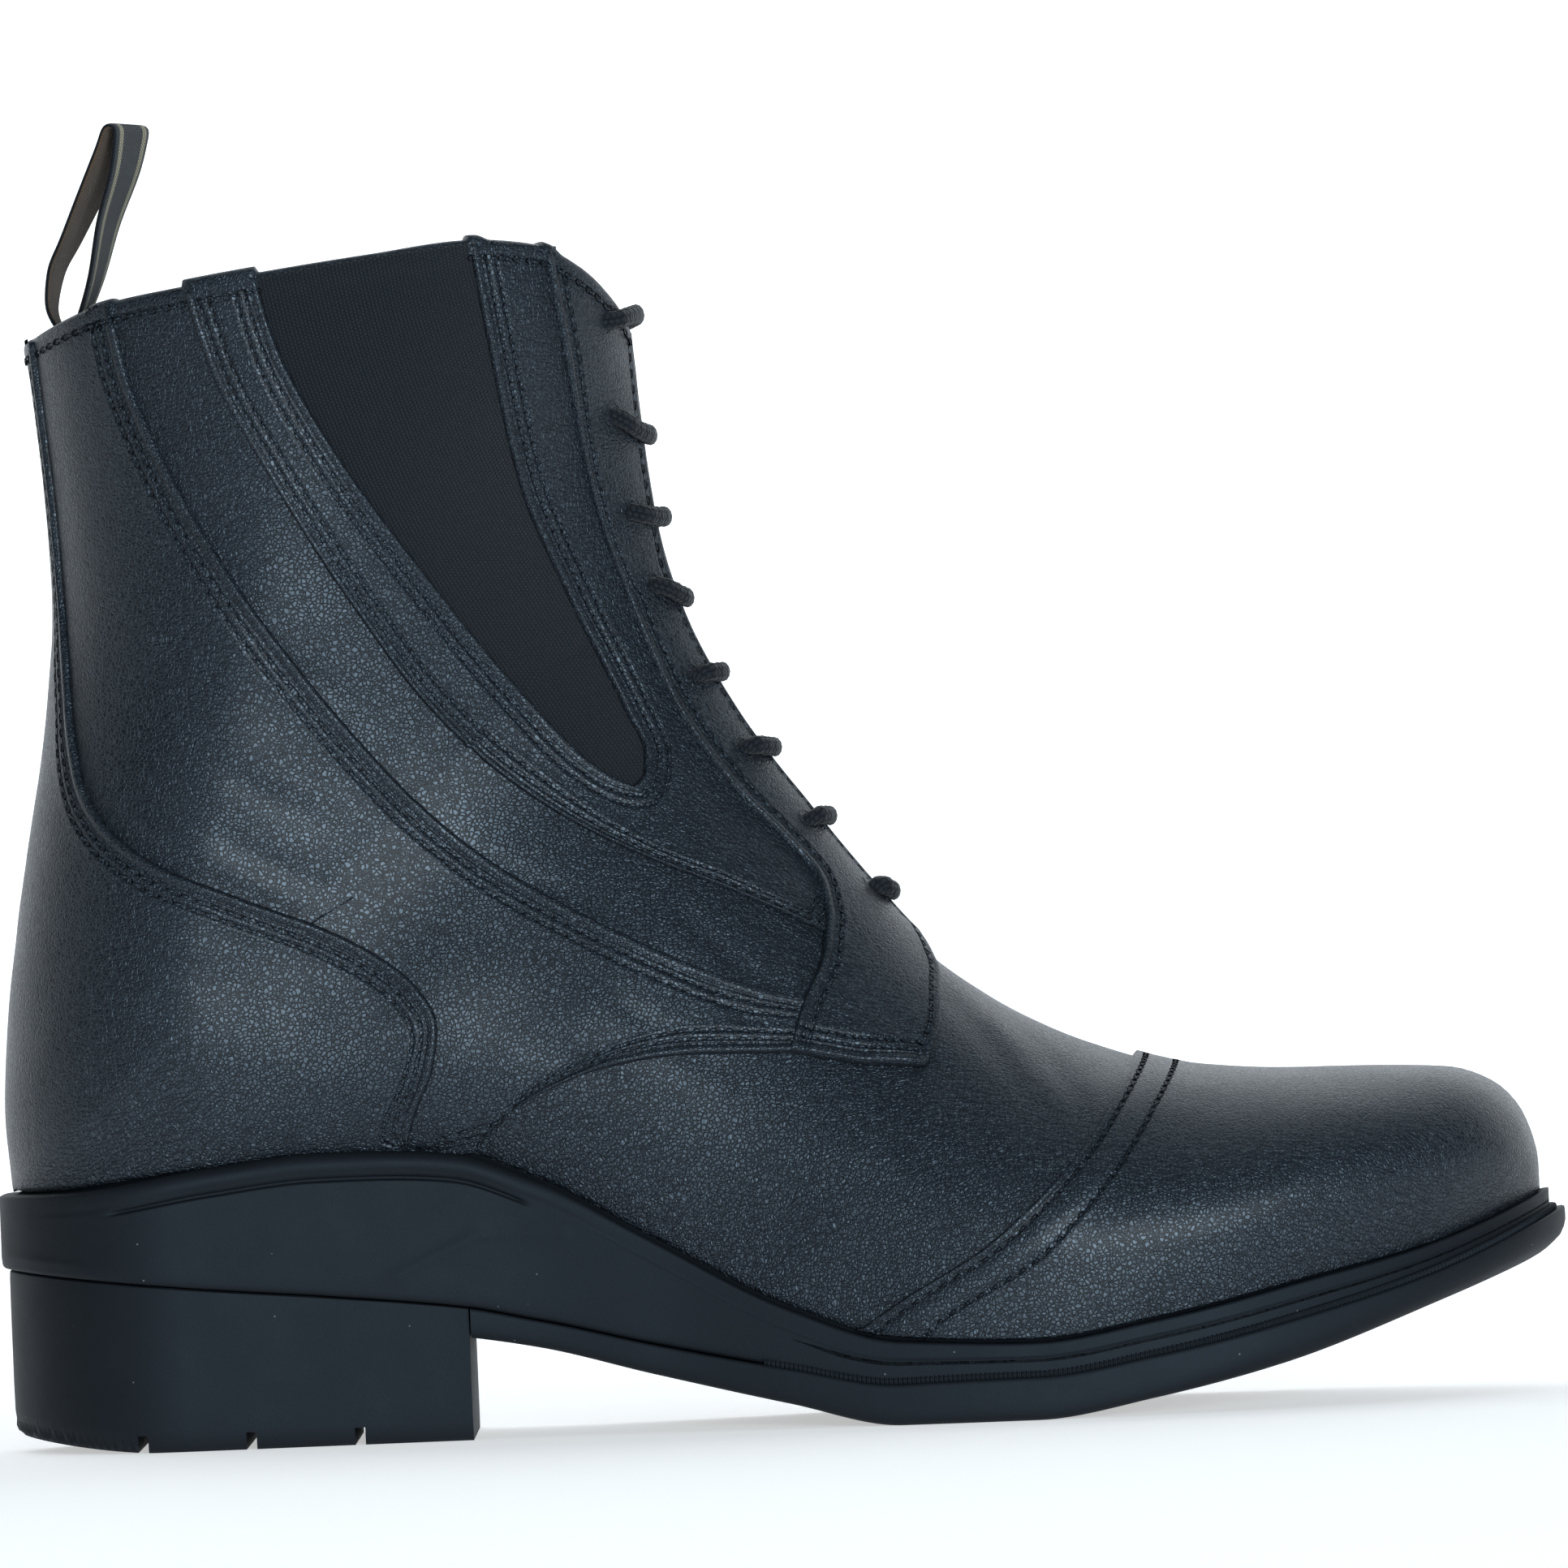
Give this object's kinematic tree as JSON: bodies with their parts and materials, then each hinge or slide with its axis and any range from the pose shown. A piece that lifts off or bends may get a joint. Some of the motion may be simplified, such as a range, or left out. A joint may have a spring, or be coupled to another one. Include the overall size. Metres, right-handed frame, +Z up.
{
  "type": "paddock boot",
  "caption": "Right lace-up paddock boot of black leather with elastic side gores, a capped round toe and a moulded heeled rubber sole.",
  "frame": {"origin": "middle of the boot's length and breadth, on the floor that the sole stands on", "axes": "+X towards the toe, +Y towards the inner side of the foot, +Z up; the outer side faces -Y"},
  "size_m": [0.2892, 0.1034, 0.2445],
  "materials": {
    "leather": "fine-grained black leather with a soft wax gloss",
    "elastic": "ribbed black elastic webbing, matt",
    "rubber": "moulded black rubber, semi-matt",
    "lace": "round woven black cord",
    "webbing": "woven dark navy webbing with a tan inner face",
    "tongue": "thin soft black leather",
    "footbed": "black textile over foam"
  },
  "bodies": {
    "root": {"heel": "rubber", "outsole": "rubber", "midsole": "rubber", "insole": "footbed", "upper": "leather", "tongue": "tongue", "toe_cap": "leather", "counter": "leather", "rear_panel_outer": "leather", "rear_panel_inner": "leather", "middle_panel_outer": "leather", "middle_panel_inner": "leather", "gore_strap_outer": "leather", "gore_strap_inner": "leather", "gore_outer": "elastic", "gore_inner": "elastic", "facing_outer": "leather", "facing_inner": "leather", "lace_bar_1": "lace", "lace_bar_2": "lace", "lace_bar_3": "lace", "lace_bar_4": "lace", "lace_bar_5": "lace", "lace_bar_6": "lace", "lace_bar_7": "lace", "lace_bar_8": "lace", "pull_loop": "webbing"}
  },
  "joints": []
}
